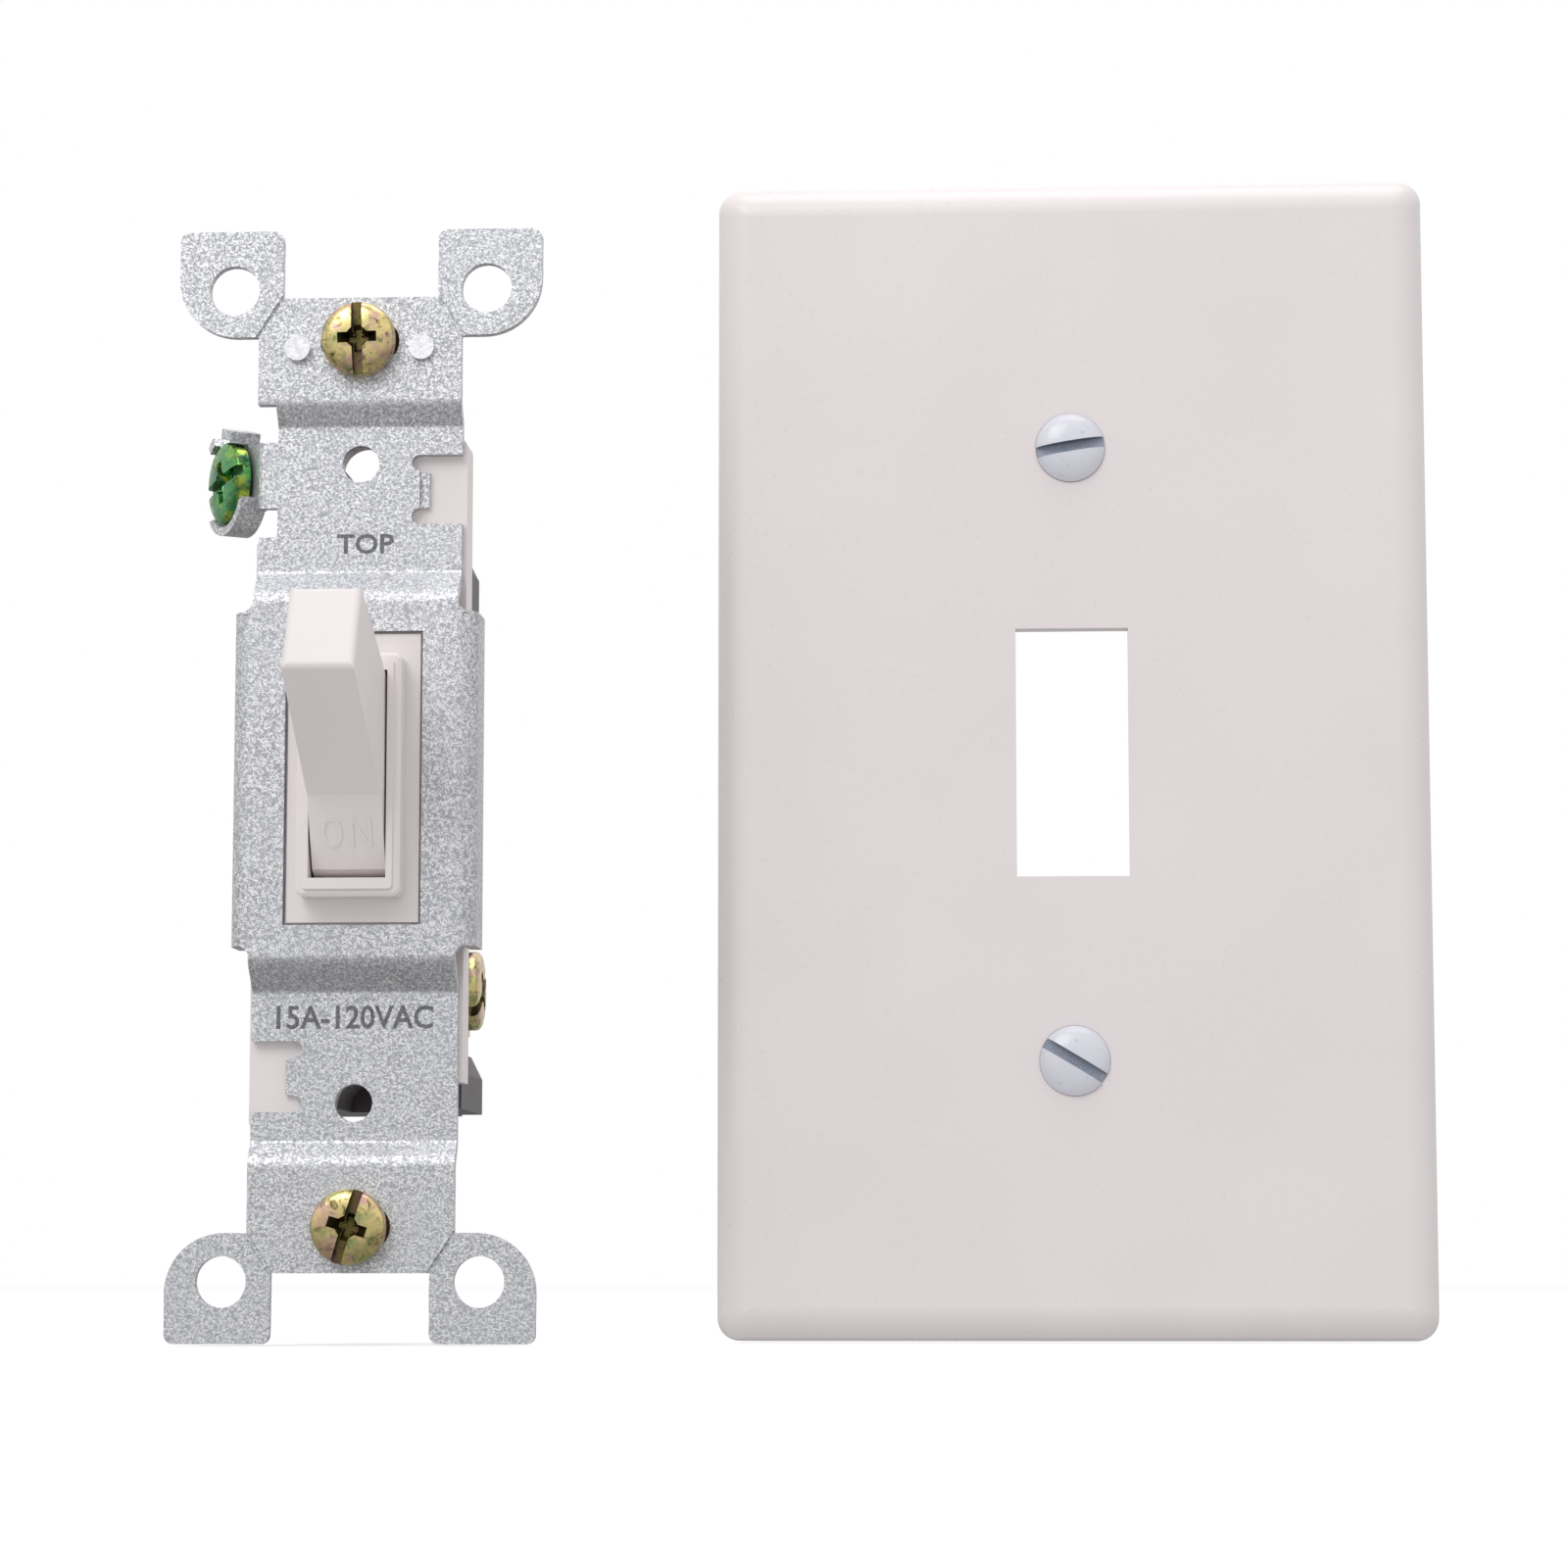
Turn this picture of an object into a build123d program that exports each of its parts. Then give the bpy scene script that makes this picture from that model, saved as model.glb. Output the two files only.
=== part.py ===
"""Single-pole toggle wall switch and its one-gang wall plate, one STEP per piece.

Frame: millimetres, +Z up, +X right seen from the room, the front faces -Y. The origin is the
midpoint between the two wall-box screws, on the back plane of the strap's ears.
"""
from build123d import *
import os
from math import cos, radians, sin

os.makedirs("parts", exist_ok=True)

# --- standard pitches -------------------------------------------------------------------------
box_pitch = 83.34  # wall-box screws, 3-9/32 in
plate_pitch = 60.33  # plate screws, 2-3/8 in
screw_r = 1.75  # 6-32 thread, outside

# --- clearances -------------------------------------------------------------------------------
running = 0.05  # radial, a shaft turning or sliding in a hole
gap = 0.30  # between free pieces of different bodies
snug = 0.08  # a free piece that only just misses its neighbour

# --- mounting strap ---------------------------------------------------------------------------
strap_t = 1.1
strap_w = 19.3
strap_end = box_pitch / 2 + 4.23  # half-length between the ears
ear_end = strap_end + 6.5  # half-length over the ears
ear_in, ear_out = 7.4, 17.25
ear_low = strap_end - 3.7
ear_round = 5.5
ear_hole_x, ear_hole_z, ear_hole_r = 12.0, strap_end + 0.8, 2.375
screw_drop = 1.4  # plate-screw plane, behind the ears' front
bridge_rise = 1.3  # bridge, in front of the ears' front
jog_out, jog_in = box_pitch / 2 - 5.97, box_pitch / 2 - 7.67
bridge_out, bridge_in = 19.5, 17.0
bend_r = 0.5
wing_half, wing_w, wing_back = 15.7, 23.0, 3.5
window_x, window_z = 6.45, 13.77
slot_long, slot_wide = 7.5, 2 * screw_r + 0.7
tap_r = screw_r
rivet_x, rivet_z, rivet_r = 5.9, box_pitch / 2 - 0.67, 0.8
clip_x, clip_low, clip_high = 5.6, 24.4, 31.0
clip_relief_r = 0.75
tongue_deep, tongue_t, tongue_in = 7.0, 1.4, 1.6

# --- ground tab, upper left -------------------------------------------------------------------
tab_angle = 58.0  # bent back from the strap's plane
tab_low, tab_high = 26.0, 32.3
tab_u = 5.0  # bend line to the screw's centre
ground_head_r, ground_head_h = 3.95, 1.7
ground_shank_r, ground_shank_l = 2.1, 4.4

# --- white cover frame ------------------------------------------------------------------------
cover_x, cover_z = 10.0, 32.8
cover_step_z = 28.2  # the two corners cut short
cover_back = 5.5
pad_drop, pad_gap = 0.4, 0.25  # pad's front, behind the bridge's front, and the gap round it
collar_x, collar_z, collar_rise = 4.85, 11.35, 3.6
opening_x, opening_z = 3.62, 9.67
collar_wall = 2.1
lip_in, lip_rise = 0.65, 0.35  # the collar's raised inner lip
cavity_x, cavity_z = 4.0, 10.6

# --- dark base --------------------------------------------------------------------------------
base_back = 26.0
base_z = 30.5
base_rear, base_narrow, base_wide = 6.9, 7.6, 9.4
base_step, wall_step = 21.0, 15.5  # depths where the base and its long walls step in
wall_top, bay_top, bay_low = 23.5, 13.5, 24.9
well_x, well_z, well_back = 5.0, 12.6, 21.0

# --- toggle -----------------------------------------------------------------------------------
pivot_y = 0.9
throw = 27.0  # each side of the middle
tip_u, tip_w = 25.0, 4.35
root_u, root_w = 6.5, 5.75
barrel_r = 10.1
handle_tip_x, handle_root_x = 3.25, 3.42
trunnion_r, trunnion_x = 1.5, 5.8
tail_u, tail_w = 8.2, 2.6
plunger_r = 1.45
plunger_c = 10.0  # pivot to the centre of the plunger's round tip

# --- contacts ---------------------------------------------------------------------------------
rock = 5.9  # the rocking contact turns this far each side of the middle
arm_lean = 14.0  # beyond the track its arms lean forward, rocker in the middle
hinge_r = 0.9
rocker_t, rocker_l, rocker_x = 0.8, 9.2, 2.4
contact_at, contact_r, contact_h = 7.8, 1.5, 0.8

# --- terminals and screws ---------------------------------------------------------------------
terminal_z = 18.9
terminal_t = 0.8
terminal_head_r, terminal_head_h = 3.8, 1.7
terminal_shank_r = 1.9
screw_head_r, screw_head_h = 3.5, 2.1
screw_l = 19.0
neck_r, neck_to = screw_r - 0.43, 1.6  # plain neck, from the head to that depth
retainer = 9.0

# --- wall plate -------------------------------------------------------------------------------
plate_w, plate_h, plate_d, plate_wall = 69.85, 114.3, 5.6, 2.2
plate_x = 67.2  # set down to the right of the switch
plate_z = plate_h / 2 - ear_end  # both stand on the same level
plate_back = base_back
plate_slot_x, plate_slot_z = 5.5, 12.2
oval_r, oval_l = 3.4, 12.5

# --- what follows from the sizes --------------------------------------------------------------
ear_front = -strap_t
screw_front = ear_front + screw_drop
bridge_front = ear_front - bridge_rise
screw_back = screw_front + strap_t
bridge_back = bridge_front + strap_t
pad_y = bridge_front + pad_drop
collar_y = pad_y - collar_rise
alpha = radians(throw)


def at(y):
    """Sketch plane facing the room at depth y; extruding goes towards the room."""
    return Plane.XZ.offset(-y)


def slab(x0, x1, y0, y1, z0, z1, mode=Mode.ADD):
    """A box between two corners, added to the open part."""
    with Locations(((x0 + x1) / 2, (y0 + y1) / 2, (z0 + z1) / 2)):
        Box(abs(x1 - x0), abs(y1 - y0), abs(z1 - z0), mode=mode)


def sheet(path, t, r):
    """Outline and corner radii of a sheet of thickness t along a bent centre line."""
    pts = [Vector(*p) for p in path]
    legs = [(b - a).normalized() for a, b in zip(pts, pts[1:])]
    sides = {1: [], -1: []}
    radii = {1: [], -1: []}
    for side in (1, -1):
        for i, p in enumerate(pts):
            before, after = legs[max(i - 1, 0)], legs[min(i, len(legs) - 1)]
            n1 = Vector(-before.Y, before.X) * side
            n2 = Vector(-after.Y, after.X) * side
            off = (n1 + n2) * (t / 2 / (1 + n1.dot(n2)))
            turn = before.X * after.Y - before.Y * after.X
            sides[side].append(p + off)
            ends = i in (0, len(pts) - 1)
            radii[side].append(0 if ends else (r if turn * side > 0 else r + t))
    return (
        [(v.X, v.Y) for v in sides[1] + sides[-1][::-1]],
        radii[1] + radii[-1][::-1],
    )


def save(builder, name):
    builder.part.label = name
    export_step(builder.part, f"parts/{name}.step")


# --- mounting_strap ---------------------------------------------------------------------------
ye, ys, yb = (f + strap_t / 2 for f in (ear_front, screw_front, bridge_front))
half_path = [(yb, bridge_in), (ys, bridge_out), (ys, jog_in), (ye, jog_out), (ye, strap_end)]
strap_path = [(y, -z) for y, z in half_path[::-1]] + half_path
wing_c = wing_w / 2 - strap_t / 2
wing_path = [(-wing_c, wing_back), (-wing_c, yb), (wing_c, yb), (wing_c, wing_back)]
tab_dir = Vector(-cos(radians(tab_angle)), sin(radians(tab_angle)), 0)
tab_out = Vector(-sin(radians(tab_angle)), -cos(radians(tab_angle)), 0)
tab_mid = (tab_low + tab_high) / 2
tab_origin = Vector(-strap_w / 2 + 0.35, ys, tab_mid)
tab_plane = Plane(origin=tab_origin, x_dir=tab_dir, z_dir=tab_out)
ear_edge = -strap_w / 2

with BuildPart() as mounting_strap:
    pts, radii = sheet(strap_path, strap_t, bend_r)
    with BuildSketch(Plane.YZ):
        with BuildLine():
            FilletPolyline(*pts, radius=radii, close=True)
        make_face()
    extrude(amount=strap_w / 2, both=True)
    pts, radii = sheet(wing_path, strap_t, 0.8)
    with BuildSketch(Plane.XY):
        with BuildLine():
            FilletPolyline(*pts, radius=radii, close=True)
        make_face()
    extrude(amount=wing_half, both=True)
    with BuildSketch(at(bridge_back)):
        for sx in (1, -1):
            for sz in (1, -1):
                with BuildLine():
                    x, z = sx * (strap_w / 2 - 0.2), sz * (wing_half - 0.2)
                    Polyline((x, z), (x + sx * 1.2, z), (x + sx * 0.5, z + sz * 0.5), (x, z + sz * 1.2), close=True)
                make_face()
    extrude(amount=strap_t)
    with BuildSketch(at(0)):
        for sx in (1, -1):
            for sz in (1, -1):
                with BuildLine():
                    FilletPolyline(
                        (sx * ear_in, sz * (ear_low + 1.2)),
                        (sx * ear_in, sz * ear_end),
                        (sx * ear_out, sz * ear_end),
                        (sx * ear_out, sz * ear_low),
                        (sx * (ear_in + 1.2), sz * ear_low),
                        radius=[0.0, 0.9, 0.9, ear_round, 0.0],
                        close=True,
                    )
                make_face()
    extrude(amount=strap_t)
    # every opening cut straight through
    with BuildSketch(at(20)):
        Rectangle(2 * window_x, 2 * window_z)
        with Locations((0, box_pitch / 2), (0, -box_pitch / 2)):
            SlotOverall(slot_long, slot_wide)
        with Locations((0, plate_pitch / 2), (0, -plate_pitch / 2)):
            Circle(tap_r)
        with GridLocations(2 * ear_hole_x, 2 * ear_hole_z, 2, 2):
            Circle(ear_hole_r)
        for s in (1, -1):
            with Locations((s * (clip_x + 5), s * (clip_low + clip_high) / 2)):
                Rectangle(10, clip_high - clip_low)
            for z in (clip_low + clip_relief_r, clip_high - clip_relief_r):
                with Locations((s * clip_x, s * z)):
                    Circle(clip_relief_r)
        with Locations((ear_edge, (tab_high + jog_out) / 2)):
            Rectangle(3.5, jog_out - tab_high)
        with Locations((ear_edge, tab_low - 1.4)):
            Rectangle(3.5, 2.8)
        with Locations((-rivet_x, rivet_z), (rivet_x, rivet_z)):
            Circle(rivet_r)
    extrude(amount=40, mode=Mode.SUBTRACT)
    # tongues bent back into the two clip notches
    for s in (1, -1):
        slab(
            s * (clip_x - 0.5), s * (clip_x + tongue_t - 0.5), ys, screw_back + tongue_deep,
            s * (clip_low + tongue_in), s * (clip_high - tongue_in),
        )
    # break-off score lines at the ears
    for sx in (1, -1):
        for sz in (1, -1):
            with BuildSketch(Plane(origin=(0, ear_front, 0), x_dir=(1, 0, 0), z_dir=(0, -1, 0))):
                with BuildLine():
                    Polyline(
                        (sx * 7.3, sz * (strap_end + 0.5)), (sx * 10.0, sz * ear_low),
                        (sx * 9.6, sz * (ear_low - 0.2)), (sx * 6.9, sz * (strap_end + 0.3)),
                        close=True,
                    )
                make_face()
            extrude(amount=0.3, both=True, mode=Mode.SUBTRACT)
    # ground tab with its wire-keeping lugs and hook
    with BuildSketch(tab_plane.offset(-strap_t / 2)):
        with Locations((tab_u / 2 - 0.2, 0)):
            Rectangle(tab_u + 0.4, tab_high - tab_low)
        with Locations((tab_u, 0)):
            Circle(ground_head_r + 0.15)
        with Locations((tab_u, 0)):
            Rectangle(ground_head_r * 1.9, ground_head_r * 1.5)
    extrude(amount=strap_t)
    lug_r = ground_head_r + gap
    for turn, wide in ((-58, 1.3), (-106, 2.4)):
        with BuildSketch(tab_plane.offset(-strap_t / 2)):
            with Locations(Location((tab_u, 0, 0), (0, 0, turn)) * Location((lug_r + 0.1, 0, 0))):
                Rectangle(1.5, wide)
            with Locations((tab_u, 0)):
                Circle(lug_r, mode=Mode.SUBTRACT)
        extrude(amount=strap_t + 1.9)
    with BuildSketch(tab_plane.offset(-strap_t / 2)):
        with Locations((tab_u, 0)):
            Circle(lug_r + 0.8)
            Circle(lug_r, mode=Mode.SUBTRACT)
        with Locations(Location((tab_u, 0, 0), (0, 0, 98)) * Location((-6.0, 0, 0))):
            Rectangle(12 + 2 * lug_r * cos(radians(52)), 30, mode=Mode.SUBTRACT)
    extrude(amount=strap_t + 1.5)
    for turn, wide in ((-58, 1.3), (-106, 2.4), (98, 3.4)):
        with BuildSketch(tab_plane.offset(-strap_t / 2)):
            with Locations(Location((tab_u, 0, 0), (0, 0, turn)) * Location((lug_r - 1.0, 0, 0))):
                Rectangle(2.6, wide)
        extrude(amount=strap_t)
    with Locations(tab_plane.offset(-5) * Location((tab_u, 0, 0))):
        Cylinder(ground_shank_r + running, 12, mode=Mode.SUBTRACT)
save(mounting_strap, "mounting_strap")

# --- cover_frame ------------------------------------------------------------------------------
relief_x = -cover_x + 3.6
with BuildPart() as cover_frame:
    with BuildSketch(at(cover_back)):
        RectangleRounded(2 * cover_x, 2 * cover_z, 1.0)
    extrude(amount=cover_back - screw_back)
    raised = bridge_in - strap_t - 0.1
    slab(-strap_w / 2, strap_w / 2, bridge_back, cover_back, -raised, raised)
    pad_x, pad_z = window_x - pad_gap, window_z - pad_gap
    slab(-pad_x, pad_x, pad_y, cover_back, -pad_z, pad_z)
    with BuildSketch(at(pad_y)):
        RectangleRounded(2 * collar_x, 2 * collar_z, 0.7)
    extrude(amount=pad_y - collar_y - lip_rise)
    rim = cover_frame.faces().sort_by(Axis.Y)[0]
    chamfer(rim.outer_wire().edges(), length=0.3)
    with BuildSketch(at(collar_y + lip_rise)):
        RectangleRounded(2 * (collar_x - lip_in), 2 * (collar_z - lip_in), 0.4)
    extrude(amount=lip_rise)
    # clear of the wings' inner faces and of the tongues
    for s in (1, -1):
        slab(
            s * (wing_w / 2 - strap_t - 0.05), s * 30, -10, 20, -wing_half - 1, wing_half + 1,
            Mode.SUBTRACT,
        )
        slab(
            s * (clip_x - 0.5), s * (clip_x + tongue_t - 0.5), -10, 20,
            s * (clip_low + tongue_in), s * (clip_high - tongue_in), Mode.SUBTRACT,
        )
        slab(s * 8.3, s * 30, -10, 20, -s * cover_step_z, -s * 60, Mode.SUBTRACT)
    # toggle's opening, the space behind it, and the trunnion bearings
    slab(-opening_x, opening_x, -20, 20, -opening_z, opening_z, Mode.SUBTRACT)
    slab(-cavity_x, cavity_x, collar_y + collar_wall, 20, -cavity_z, cavity_z, Mode.SUBTRACT)
    with Locations(Location((0, pivot_y, 0), (0, 90, 0))):
        Cylinder(trunnion_r + running, 2 * (trunnion_x + 0.2), mode=Mode.SUBTRACT)
    bearing = trunnion_r + running
    slab(-trunnion_x - 0.2, trunnion_x + 0.2, pivot_y, 20, -bearing, bearing, Mode.SUBTRACT)
    # relief behind the tapped holes, and round the ground screw
    with BuildSketch(at(20)):
        with Locations((0, plate_pitch / 2), (0, -plate_pitch / 2)):
            Circle(tap_r + 0.6)
    extrude(amount=40, mode=Mode.SUBTRACT)
    slab(-30, relief_x, -10, 20, tab_low - 3.2, tab_high + 1.6, Mode.SUBTRACT)
save(cover_frame, "cover_frame")

# --- contact geometry -------------------------------------------------------------------------
tip_gap = plunger_r + snug
hinge_y = pivot_y + plunger_c + tip_gap + hinge_r
rocker_ratio = -rock / throw


def turned(v, angle):
    """A (depth, height) vector turned about +X."""
    return Vector(v.X * cos(angle) - v.Y * sin(angle), v.X * sin(angle) + v.Y * cos(angle))


def tip_track(t):
    """Centre of the plunger's tip as the rocking contact meets it, toggle t from the middle."""
    centre = Vector(pivot_y + plunger_c * cos(t) - hinge_y, -plunger_c * sin(t))
    return turned(centre, -radians(rock) * t / alpha)


def beside_track(t, out):
    """Point that far behind the track, switched on."""
    run = (tip_track(t + 0.001) - tip_track(t - 0.001)).normalized()
    spot = turned(tip_track(t) + Vector(-run.Y, run.X) * out, radians(rock))
    return spot + Vector(hinge_y, 0)


half_track = plunger_c * sin(alpha)
arm_reach = rocker_l - half_track
lean_low, lean_high = radians(arm_lean - rock), radians(arm_lean + rock)
arm_run = Vector(-sin(lean_low), -cos(lean_low))
free_run = Vector(-sin(lean_high), cos(lean_high))


def rocker_side(out):
    """One side of the rocking contact's sheet: along the track, then straight arms."""
    spots = [beside_track(alpha * i / 6, out) for i in range(-6, 7)]
    return [spots[0] + free_run * arm_reach] + spots + [spots[-1] + arm_run * arm_reach]


button = beside_track(alpha, tip_gap + rocker_t) + arm_run * (contact_at - half_track)
contact_base = Vector(0, button.X, button.Y)
arm_back = Vector(0, -arm_run.Y, arm_run.X)
strip_y = contact_base.Y + contact_h + snug + 0.6

# terminal strips as boxes, used for the brass and for the pockets it lies in
line_boxes = [
    (-1.8, 1.8, well_back - 0.8, well_back, -2.0, terminal_z),
    (-base_narrow - terminal_t, 1.8, well_back - 0.8, well_back, terminal_z - 2.5, terminal_z + 2.5),
    (-base_narrow - terminal_t, -base_narrow, 9.0, well_back, terminal_z - 4.1, terminal_z + 4.1),
]
load_boxes = [
    (-2.2, 2.2, strip_y, strip_y + 0.8, -terminal_z - 2.5, contact_base.Z + 2.4),
    (-2.2, base_narrow + terminal_t, strip_y, strip_y + 0.8, -terminal_z - 2.5, -terminal_z + 2.5),
    (base_narrow, base_narrow + terminal_t, 9.0, 19.0, -terminal_z - 4.1, -terminal_z + 4.1),
]
terminal_y = 13.6

# --- base -------------------------------------------------------------------------------------
with BuildPart() as base:
    slab(-base_narrow, base_narrow, cover_back, base_step, -base_z, base_z)
    # side walls: a long one and one at the far end, the terminal's bay between them
    for deep_to, z0, z1 in ((wall_step, -bay_top, wall_top), (base_step, -base_z, -bay_low)):
        with BuildSketch(at(deep_to)):
            for s in (1, -1):
                with BuildLine():
                    Polyline(
                        (0, s * z0), (s * base_wide, s * z0), (s * base_wide, s * (z1 - 2.2)),
                        (s * (base_wide - 1.1), s * z1), (0, s * z1), close=True,
                    )
                make_face()
        extrude(amount=deep_to - cover_back)
    slab(-base_rear, base_rear, base_step, base_back, -base_z, base_z)
    back = base.faces().sort_by(Axis.Y)[-1]
    chamfer(back.outer_wire().edges(), length=0.8)
    slab(-well_x, well_x, 0, well_back, -well_z, well_z, Mode.SUBTRACT)
    # posts that hold the trunnions in their bearings
    post_y = pivot_y + trunnion_r + running
    for s in (1, -1):
        slab(s * (cavity_x + 0.2), s * (trunnion_x + 0.1), post_y, cover_back + 3.5, -1.4, 1.4)
    for b in line_boxes + load_boxes:
        slab(*b, Mode.SUBTRACT)
    for s in (1, -1):
        with Locations(Location((s * (base_narrow - 1.0), terminal_y, -s * terminal_z), (0, 90, 0))):
            Cylinder(terminal_shank_r + 0.2, 7.0, mode=Mode.SUBTRACT)
        # the tongues and the plate screws reach in here
        slab(
            s * (clip_x - 0.5), s * (clip_x + tongue_t - 0.5), 0, screw_back + tongue_deep,
            s * (clip_low + tongue_in), s * (clip_high - tongue_in), Mode.SUBTRACT,
        )
    with BuildSketch(at(14)):
        with Locations((0, plate_pitch / 2), (0, -plate_pitch / 2)):
            Circle(tap_r + 0.6)
    extrude(amount=14, mode=Mode.SUBTRACT)
    slab(-30, relief_x, 0, 13.0, tab_low - 3.2, tab_high + 4, Mode.SUBTRACT)
    # shallow panel in the back
    slab(-5.5, 5.5, base_back - 0.4, base_back + 1, -20, 20, Mode.SUBTRACT)
save(base, "base")

# --- toggle, drawn switched on ----------------------------------------------------------------
toggle_plane = Plane(
    origin=(0, pivot_y, 0), x_dir=(0, -cos(alpha), sin(alpha)), z_dir=(-1, 0, 0)
)
facet_u = 0.5
facet_w = (barrel_r**2 - facet_u**2) ** 0.5
heel_u = -3.0
heel_w = 9.0
with BuildPart() as toggle:
    with BuildSketch(toggle_plane):
        with BuildLine():
            Polyline(
                (tip_u, -tip_w), (root_u, -root_w), (facet_u, -facet_w)
            )
            ThreePointArc(
                (facet_u, -facet_w), (-1.2, -((barrel_r**2 - 1.2**2) ** 0.5)),
                (heel_u, -((barrel_r**2 - heel_u**2) ** 0.5)),
            )
            Polyline(
                (heel_u, -((barrel_r**2 - heel_u**2) ** 0.5)), (-4.2, -tail_w), (-tail_u, -tail_w),
                (-tail_u, tail_w), (-4.2, tail_w), (heel_u, (barrel_r**2 - heel_u**2) ** 0.5),
            )
            ThreePointArc(
                (heel_u, (barrel_r**2 - heel_u**2) ** 0.5), (-1.2, (barrel_r**2 - 1.2**2) ** 0.5),
                (facet_u, facet_w),
            )
            Polyline((facet_u, facet_w), (root_u, root_w), (tip_u, tip_w), (tip_u, -tip_w))
        make_face()
    extrude(amount=handle_root_x, both=True)
    # the handle's sides draw in towards the tip
    across = Plane(origin=(0, pivot_y, 0), x_dir=toggle_plane.x_dir, z_dir=toggle_plane.y_dir)
    for s in (1, -1):
        with BuildSketch(across):
            with BuildLine():
                Polyline(
                    (root_u, s * (handle_root_x + 0.001)), (tip_u + 1, s * handle_tip_x),
                    (tip_u + 1, s * 9), (root_u, s * 9), close=True,
                )
            make_face()
        extrude(amount=12, both=True, mode=Mode.SUBTRACT)
    tip = toggle.faces().sort_by(Axis(toggle_plane.origin, toggle_plane.x_dir))[-1]
    fillet(tip.edges(), radius=0.6)
    with Locations(Location((0, pivot_y, 0), (0, 90, 0))):
        Cylinder(trunnion_r, 2 * trunnion_x)
    # the tail is narrower than the barrel and takes spring and plunger
    for s in (1, -1):
        with BuildSketch(toggle_plane.offset(s * tail_w)):
            with Locations((-tail_u, 0)):
                Rectangle(2 * (tail_u - 4.4), 8)
        extrude(amount=s * 5, mode=Mode.SUBTRACT)
    with Locations(Plane(origin=(0, pivot_y, 0), z_dir=-toggle_plane.x_dir) * Location((0, 0, 6.6))):
        Cylinder(plunger_r + running, 8.0, mode=Mode.SUBTRACT)
    # raised words on the two facets
    for word_side in (1, -1):
        a = Vector(root_u, word_side * root_w)
        b = Vector(facet_u, word_side * facet_w)
        run = (b - a).normalized()
        middle = (a + b) / 2
        ux, wy = toggle_plane.x_dir, toggle_plane.y_dir
        down = ux * run.X + wy * run.Y
        centre = toggle_plane.origin + ux * middle.X + wy * middle.Y
        up = -down if word_side < 0 else -down
        out = Vector(1, 0, 0).cross(up) if word_side < 0 else Vector(1, 0, 0).cross(up)
        if out.Y > 0:
            out = -out
        face_plane = Plane(origin=centre, x_dir=out.cross(up) * -1, z_dir=out)
        if face_plane.x_dir.X < 0:
            face_plane = Plane(origin=centre, x_dir=-face_plane.x_dir, z_dir=out)
        word = "ON" if word_side < 0 else "OFF"
        pitch = 2.7 if word == "ON" else 2.1
        wide = 0.98 if word == "ON" else 0.78
        tall, pen = 1.45, 0.3
        with BuildSketch(face_plane.offset(-0.1)):
            for i, letter in enumerate(word):
                x = (i - (len(word) - 1) / 2) * pitch
                if letter == "O":
                    with Locations((x, 0)):
                        Ellipse(wide, tall)
                        Ellipse(wide - pen, tall - pen, mode=Mode.SUBTRACT)
                if letter == "N":
                    with Locations((x - wide + pen / 2, 0), (x + wide - pen / 2, 0)):
                        Rectangle(pen, 2 * tall)
                    with BuildLine():
                        Polyline(
                            (x - wide, tall), (x - wide + pen, tall), (x + wide, -tall),
                            (x + wide - pen, -tall), close=True,
                        )
                    make_face()
                if letter == "F":
                    with Locations((x - wide + pen / 2, 0)):
                        Rectangle(pen, 2 * tall)
                    with Locations((x, tall - pen / 2), (x - 0.1, 0.1)):
                        Rectangle(2 * wide - 0.1, pen)
        extrude(amount=0.22)
save(toggle, "toggle")

# --- toggle_spring and plunger ----------------------------------------------------------------
tail_axis = Plane(origin=(0, pivot_y, 0), z_dir=-toggle_plane.x_dir)
spring_from, spring_to = 2.9, 5.9
coil = Helix(pitch=0.8, height=spring_to - spring_from, radius=1.05)
with BuildPart() as toggle_spring:
    with BuildSketch(Plane(origin=coil @ 0, z_dir=coil % 0)):
        Circle(0.16)
    sweep(path=coil)
toggle_spring.part = tail_axis.offset(spring_from).location * toggle_spring.part
save(toggle_spring, "toggle_spring")

with BuildPart() as plunger:
    with BuildSketch(tail_axis.offset(spring_to + 0.3)):
        Circle(plunger_r)
    extrude(amount=plunger_c - spring_to - 0.3)
    with Locations(tail_axis.offset(plunger_c).location):
        Sphere(plunger_r)
save(plunger, "plunger")

# --- contact_rocker and moving_contact --------------------------------------------------------
with BuildPart() as contact_rocker:
    outline = rocker_side(tip_gap) + rocker_side(tip_gap + rocker_t)[::-1]
    with BuildSketch(Plane.YZ.offset(-rocker_x)):
        with BuildLine():
            Polyline(*[(p.X, p.Y) for p in outline], close=True)
        make_face()
    extrude(amount=2 * rocker_x)
    with Locations(Location((0, hinge_y, 0), (0, 90, 0))):
        Cylinder(hinge_r, 2 * rocker_x)
    with Locations(Plane(origin=contact_base, z_dir=arm_back).location):
        Cylinder(0.6, 4, mode=Mode.SUBTRACT)
save(contact_rocker, "contact_rocker")

with BuildPart() as moving_contact:
    with BuildSketch(Plane(origin=contact_base, z_dir=arm_back)):
        Circle(contact_r)
    extrude(amount=contact_h)
    with BuildSketch(Plane(origin=contact_base, z_dir=arm_back)):
        Circle(0.6)
    extrude(amount=-rocker_t)
save(moving_contact, "moving_contact")

# --- fixed_contact, line_terminal, load_terminal ----------------------------------------------
face_at = contact_base + arm_back * (contact_h + snug)
stem = Plane(origin=face_at, z_dir=arm_back)
with BuildPart() as fixed_contact:
    with BuildSketch(stem):
        Circle(contact_r)
    extrude(amount=3.0)
    slab(-9, 9, strip_y + 0.8, 40, -30, 10, Mode.SUBTRACT)
save(fixed_contact, "fixed_contact")

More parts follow.
